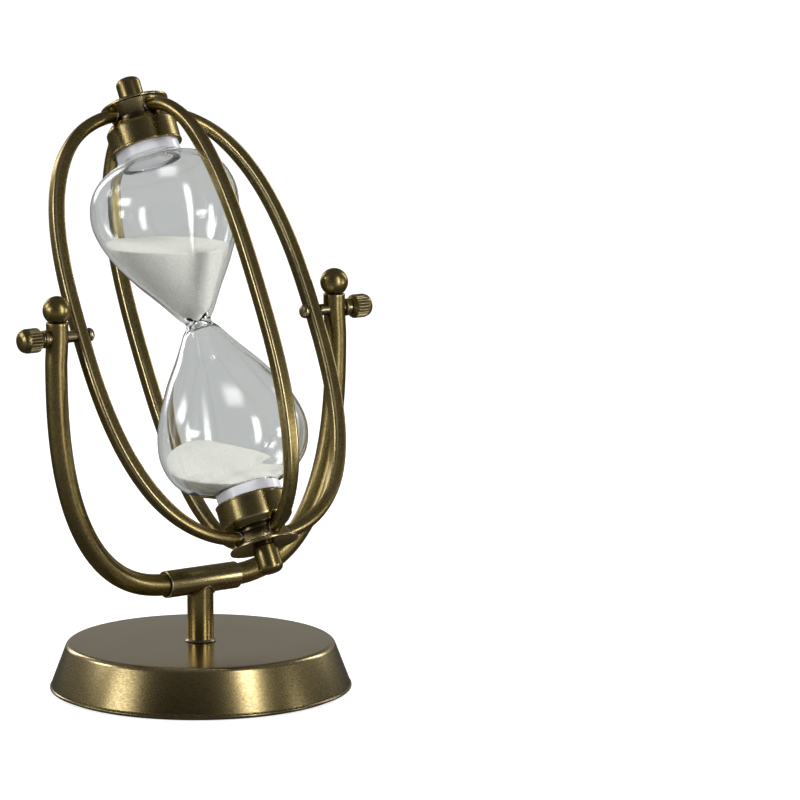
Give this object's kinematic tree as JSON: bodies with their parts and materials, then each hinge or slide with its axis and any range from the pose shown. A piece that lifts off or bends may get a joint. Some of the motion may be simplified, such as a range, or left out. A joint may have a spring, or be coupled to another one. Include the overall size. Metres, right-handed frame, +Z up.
{
  "type": "hourglass",
  "caption": "Tilting sand hourglass: two glass bulbs in an oval four-hoop metal cage, hung by two thumb-knob pivots in a U-shaped stand on a round base.",
  "frame": {"origin": "middle of the round base, on the surface it stands on", "axes": "+Z up; X along the pivot line from the left knob to the right knob; the cage's top leans towards +Y in the stored pose"},
  "size_m": [0.1886, 0.1448, 0.2711],
  "materials": {
    "base_shell": "antique brass, dark patina with worn bright edges",
    "base_weight": "raw casting",
    "base_pad": "matt black foam rubber",
    "base_screw": "zinc plated",
    "base_washer": "zinc plated",
    "stem": "antique brass, dark patina with worn bright edges",
    "stem_ring": "bright brazed ring",
    "tee_sleeve": "antique brass, dark patina with worn bright edges",
    "left_arm": "antique brass, dark patina with worn bright edges",
    "right_arm": "antique brass, dark patina with worn bright edges",
    "left_ball_finial": "antique brass, dark patina with worn bright edges",
    "right_ball_finial": "antique brass, dark patina with worn bright edges",
    "left_pivot_pin": "antique brass, dark patina with worn bright edges",
    "right_pivot_pin": "antique brass, dark patina with worn bright edges",
    "left_dome_nut": "antique brass, dark patina with worn bright edges",
    "right_dome_nut": "antique brass, dark patina with worn bright edges",
    "left_collar": "antique brass, dark patina with worn bright edges",
    "right_collar": "antique brass, dark patina with worn bright edges",
    "left_thumb_knob": "antique brass, dark patina with worn bright edges",
    "right_thumb_knob": "antique brass, dark patina with worn bright edges",
    "hoop_left": "antique brass, dark patina with worn bright edges",
    "hoop_right": "antique brass, dark patina with worn bright edges",
    "hoop_front": "antique brass, dark patina with worn bright edges",
    "hoop_back": "antique brass, dark patina with worn bright edges",
    "upper_hub": "antique brass, dark patina with worn bright edges",
    "lower_hub": "antique brass, dark patina with worn bright edges",
    "upper_cap": "antique brass, dark patina with worn bright edges",
    "lower_cap": "antique brass, dark patina with worn bright edges",
    "upper_finial": "antique brass, dark patina with worn bright edges",
    "lower_finial": "antique brass, dark patina with worn bright edges",
    "upper_stud": "zinc plated",
    "lower_stud": "zinc plated",
    "upper_stopper": "glossy white",
    "lower_stopper": "glossy white",
    "glass_bulbs": "clear, smooth",
    "upper_sand": "fine off-white grains, matt",
    "lower_sand": "fine off-white grains, matt"
  },
  "bodies": {
    "stand": {"base_shell": "base_shell", "base_weight": "base_weight", "base_pad": "base_pad", "base_screw": "base_screw", "base_washer": "base_washer", "stem": "stem", "stem_ring": "stem_ring", "tee_sleeve": "tee_sleeve", "left_arm": "left_arm", "right_arm": "right_arm", "left_ball_finial": "left_ball_finial", "right_ball_finial": "right_ball_finial"},
    "cage": {"hoop_left": "hoop_left", "hoop_right": "hoop_right", "hoop_front": "hoop_front", "hoop_back": "hoop_back", "upper_hub": "upper_hub", "lower_hub": "lower_hub", "upper_cap": "upper_cap", "lower_cap": "lower_cap", "upper_finial": "upper_finial", "lower_finial": "lower_finial", "upper_stud": "upper_stud", "lower_stud": "lower_stud", "upper_stopper": "upper_stopper", "lower_stopper": "lower_stopper", "glass_bulbs": "glass_bulbs", "upper_sand": "upper_sand", "lower_sand": "lower_sand", "left_pivot_pin": "left_pivot_pin", "right_pivot_pin": "right_pivot_pin", "left_dome_nut": "left_dome_nut", "right_dome_nut": "right_dome_nut", "left_collar": "left_collar", "right_collar": "right_collar"},
    "left_knob": {"left_thumb_knob": "left_thumb_knob"},
    "right_knob": {"right_thumb_knob": "right_thumb_knob"}
  },
  "joints": [
    {"name": "cage_tilt", "type": "hinge", "parent": "stand", "child": "cage", "pos_m": [0, 0, 0.1653], "axis": [-1, 0, 0], "range_deg": [-21, 145]},
    {"name": "left_knob_turn", "type": "hinge", "parent": "cage", "child": "left_knob", "pos_m": [-0.0888, 0, 0.1653], "axis": [-1, 0, 0], "continuous": true},
    {"name": "right_knob_turn", "type": "hinge", "parent": "cage", "child": "right_knob", "pos_m": [0.0888, 0, 0.1653], "axis": [1, 0, 0], "continuous": true}
  ]
}
